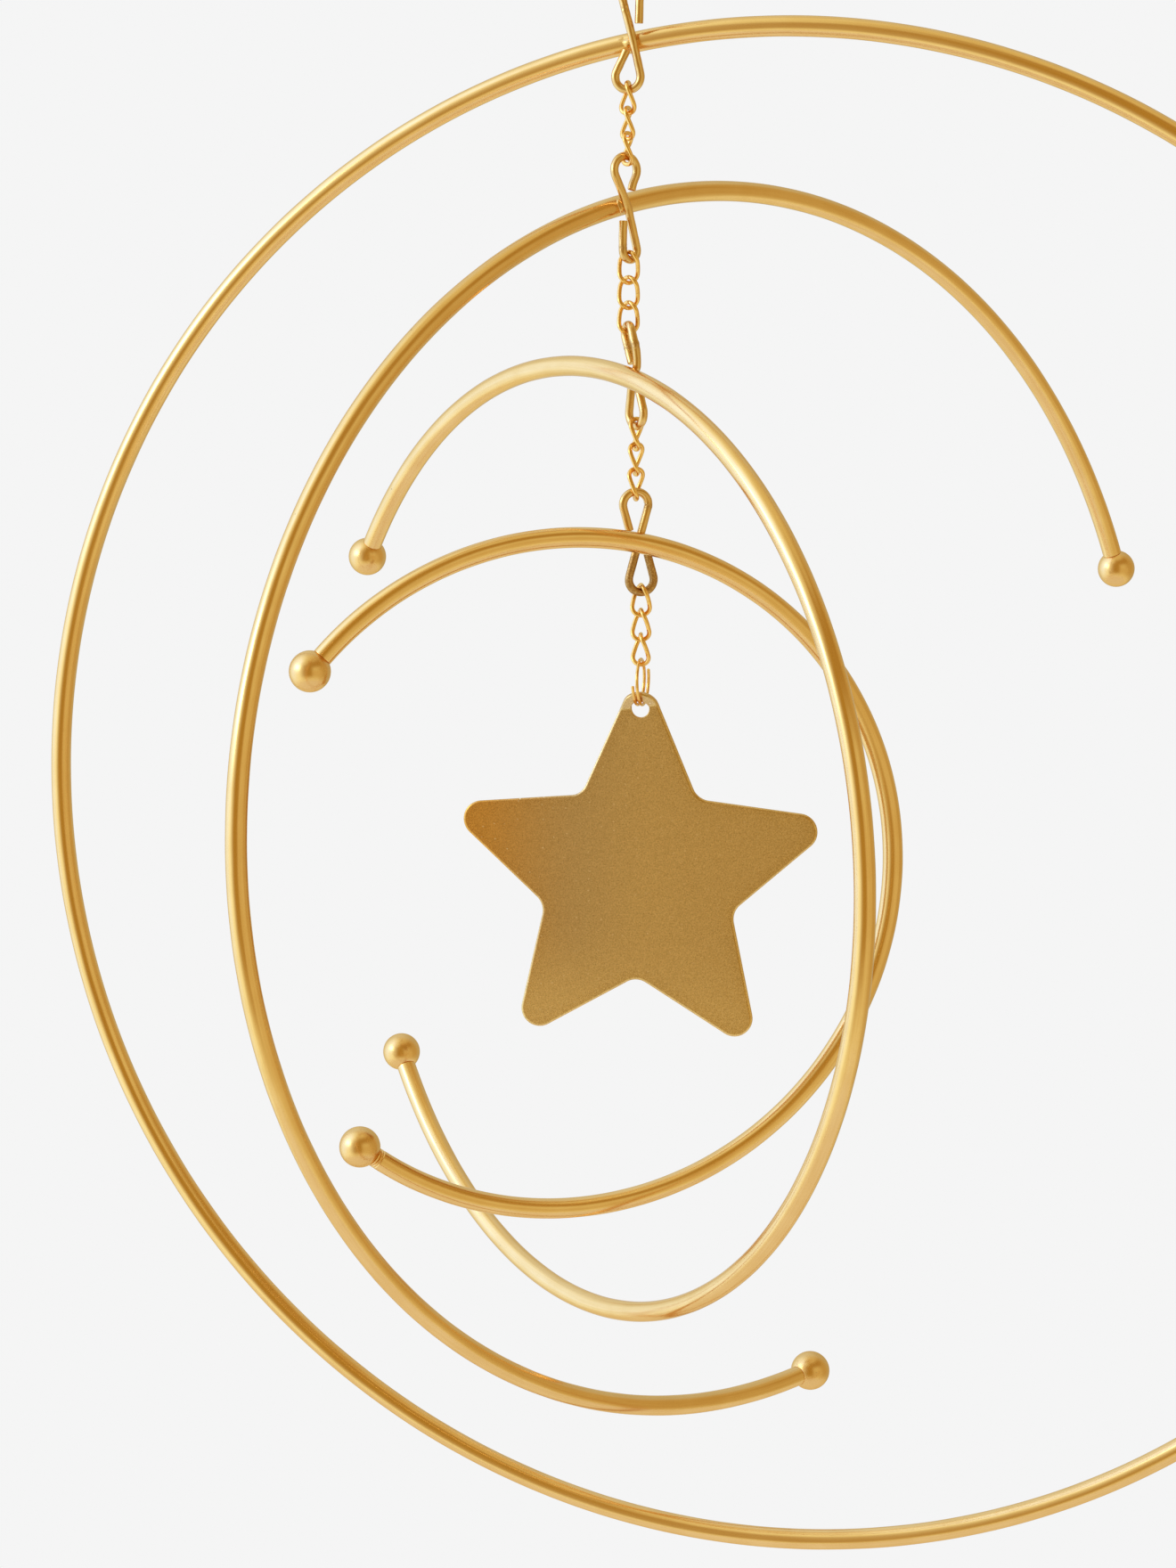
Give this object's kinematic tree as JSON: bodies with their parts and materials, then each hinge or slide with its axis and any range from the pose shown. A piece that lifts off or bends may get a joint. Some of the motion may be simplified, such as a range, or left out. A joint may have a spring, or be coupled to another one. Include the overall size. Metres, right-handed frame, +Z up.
{
  "type": "hanging star decoration",
  "caption": "Hanging decoration of open round-rod rings with ball ends, nested on S hooks and twisted chain so that each turns past the next, around a flat star on a small split ring.",
  "frame": {"origin": "inside the top of the hanging ring, where a nail or hook carries the decoration", "axes": "+Z up, +X to the viewer's right, +Y away from the viewer"},
  "size_m": [0.2774, 0.1671, 0.3373],
  "materials": {
    "rod": "satin gold lacquer",
    "ball": "satin gold lacquer",
    "hook": "satin gold lacquer over welded wire",
    "chain": "bright gold plating",
    "star": "fine metallic gold paint"
  },
  "bodies": {
    "hanger": {"hanging_ring": "chain"},
    "top_link_1": {"top_link_1": "chain"},
    "top_link_2": {"top_link_2": "chain"},
    "top_link_3": {"top_link_3": "chain"},
    "outer_ring": {"outer_rod": "rod", "outer_hook": "hook", "outer_ball_upper": "ball", "outer_ball_lower": "ball"},
    "outer_link_1": {"outer_link_1": "chain"},
    "outer_link_2": {"outer_link_2": "chain"},
    "outer_link_3": {"outer_link_3": "chain"},
    "second_ring": {"second_rod": "rod", "second_hook": "hook", "second_ball_upper": "ball", "second_ball_lower": "ball"},
    "second_link_1": {"second_link_1": "chain"},
    "second_link_2": {"second_link_2": "chain"},
    "second_link_3": {"second_link_3": "chain"},
    "third_ring": {"third_rod": "rod", "third_hook": "hook", "third_ball_upper": "ball", "third_ball_lower": "ball"},
    "third_link_1": {"third_link_1": "chain"},
    "third_link_2": {"third_link_2": "chain"},
    "third_link_3": {"third_link_3": "chain"},
    "inner_ring": {"inner_rod": "rod", "inner_hook": "hook", "inner_ball_upper": "ball", "inner_ball_lower": "ball"},
    "inner_link_1": {"inner_link_1": "chain"},
    "inner_link_2": {"inner_link_2": "chain"},
    "inner_link_3": {"inner_link_3": "chain"},
    "star_loop": {"star_ring": "chain"},
    "star": {"star": "star"}
  },
  "joints": [
    {"name": "top_swing", "type": "hinge", "parent": "hanger", "child": "top_link_1", "pos_m": [0, 0, -0.0176], "axis": [-0.0523, 0.9986, 0], "range_deg": [-20, 20]},
    {"name": "top_twist", "type": "hinge", "parent": "top_link_1", "child": "top_link_2", "pos_m": [0, 0, -0.02095], "axis": [0, 0, 1], "range_deg": [-25, 25]},
    {"name": "top_rock", "type": "hinge", "parent": "top_link_2", "child": "top_link_3", "pos_m": [0, 0, -0.02575], "axis": [-0.9877, 0.1564, 0], "range_deg": [-12, 12]},
    {"name": "outer_ring_turn", "type": "hinge", "parent": "top_link_3", "child": "outer_ring", "pos_m": [0, 0, -0.0302], "axis": [0, 0, 1], "range_deg": [-25, 25]},
    {"name": "outer_swing", "type": "hinge", "parent": "outer_ring", "child": "outer_link_1", "pos_m": [-0.00046, 0.00005, -0.04979], "axis": [0.9659, -0.2588, 0], "range_deg": [-20, 20]},
    {"name": "outer_twist", "type": "hinge", "parent": "outer_link_1", "child": "outer_link_2", "pos_m": [-0.00046, 0.00005, -0.05314], "axis": [0, 0, 1], "range_deg": [-25, 25]},
    {"name": "outer_rock", "type": "hinge", "parent": "outer_link_2", "child": "outer_link_3", "pos_m": [-0.00046, 0.00005, -0.05794], "axis": [0.6354, 0.7722, 0], "range_deg": [-12, 12]},
    {"name": "second_ring_turn", "type": "hinge", "parent": "outer_link_3", "child": "second_ring", "pos_m": [-0.00046, 0.00005, -0.06239], "axis": [0, 0, 1], "range_deg": [-25, 25]},
    {"name": "second_swing", "type": "hinge", "parent": "second_ring", "child": "second_link_1", "pos_m": [-0.00015, -0.00031, -0.08199], "axis": [0.7615, 0.6481, 0], "range_deg": [-20, 20]},
    {"name": "second_twist", "type": "hinge", "parent": "second_link_1", "child": "second_link_2", "pos_m": [-0.00015, -0.00031, -0.08534], "axis": [0, 0, 1], "range_deg": [-25, 25]},
    {"name": "second_rock", "type": "hinge", "parent": "second_link_2", "child": "second_link_3", "pos_m": [-0.00015, -0.00031, -0.09014], "axis": [-0.5938, 0.8046, 0], "range_deg": [-12, 6]},
    {"name": "third_ring_turn", "type": "hinge", "parent": "second_link_3", "child": "third_ring", "pos_m": [-0.00015, -0.00031, -0.09459], "axis": [0, 0, 1], "range_deg": [-25, 25]},
    {"name": "third_swing", "type": "hinge", "parent": "third_ring", "child": "third_link_1", "pos_m": [0.00144, -0.00299, -0.11385], "axis": [-0.5461, 0.8377, 0], "range_deg": [-20, 20]},
    {"name": "third_twist", "type": "hinge", "parent": "third_link_1", "child": "third_link_2", "pos_m": [0.00144, -0.00299, -0.1172], "axis": [0, 0, 1], "range_deg": [-25, 25]},
    {"name": "third_rock", "type": "hinge", "parent": "third_link_2", "child": "third_link_3", "pos_m": [0.00144, -0.00299, -0.122], "axis": [-0.9315, -0.3637, 0], "range_deg": [-12, 12]},
    {"name": "inner_ring_turn", "type": "hinge", "parent": "third_link_3", "child": "inner_ring", "pos_m": [0.00144, -0.00299, -0.12645], "axis": [0, 0, 1], "range_deg": [-25, 25]},
    {"name": "inner_swing", "type": "hinge", "parent": "inner_ring", "child": "inner_link_1", "pos_m": [0.00255, -0.00194, -0.14598], "axis": [-0.9641, -0.2656, 0], "range_deg": [-20, 20]},
    {"name": "inner_twist", "type": "hinge", "parent": "inner_link_1", "child": "inner_link_2", "pos_m": [0.00255, -0.00194, -0.14933], "axis": [0, 0, 1], "range_deg": [-25, 25]},
    {"name": "inner_rock", "type": "hinge", "parent": "inner_link_2", "child": "inner_link_3", "pos_m": [0.00255, -0.00194, -0.15413], "axis": [-0.0728, -0.9973, 0], "range_deg": [-12, 12]},
    {"name": "star_loop_turn", "type": "hinge", "parent": "inner_link_3", "child": "star_loop", "pos_m": [0.00255, -0.00194, -0.15898], "axis": [0, 0, 1], "range_deg": [-25, 25]},
    {"name": "star_swing", "type": "hinge", "parent": "star_loop", "child": "star", "pos_m": [0.00255, -0.00194, -0.16788], "axis": [0.2198, 0.9755, 0], "range_deg": [-20, 20]}
  ]
}
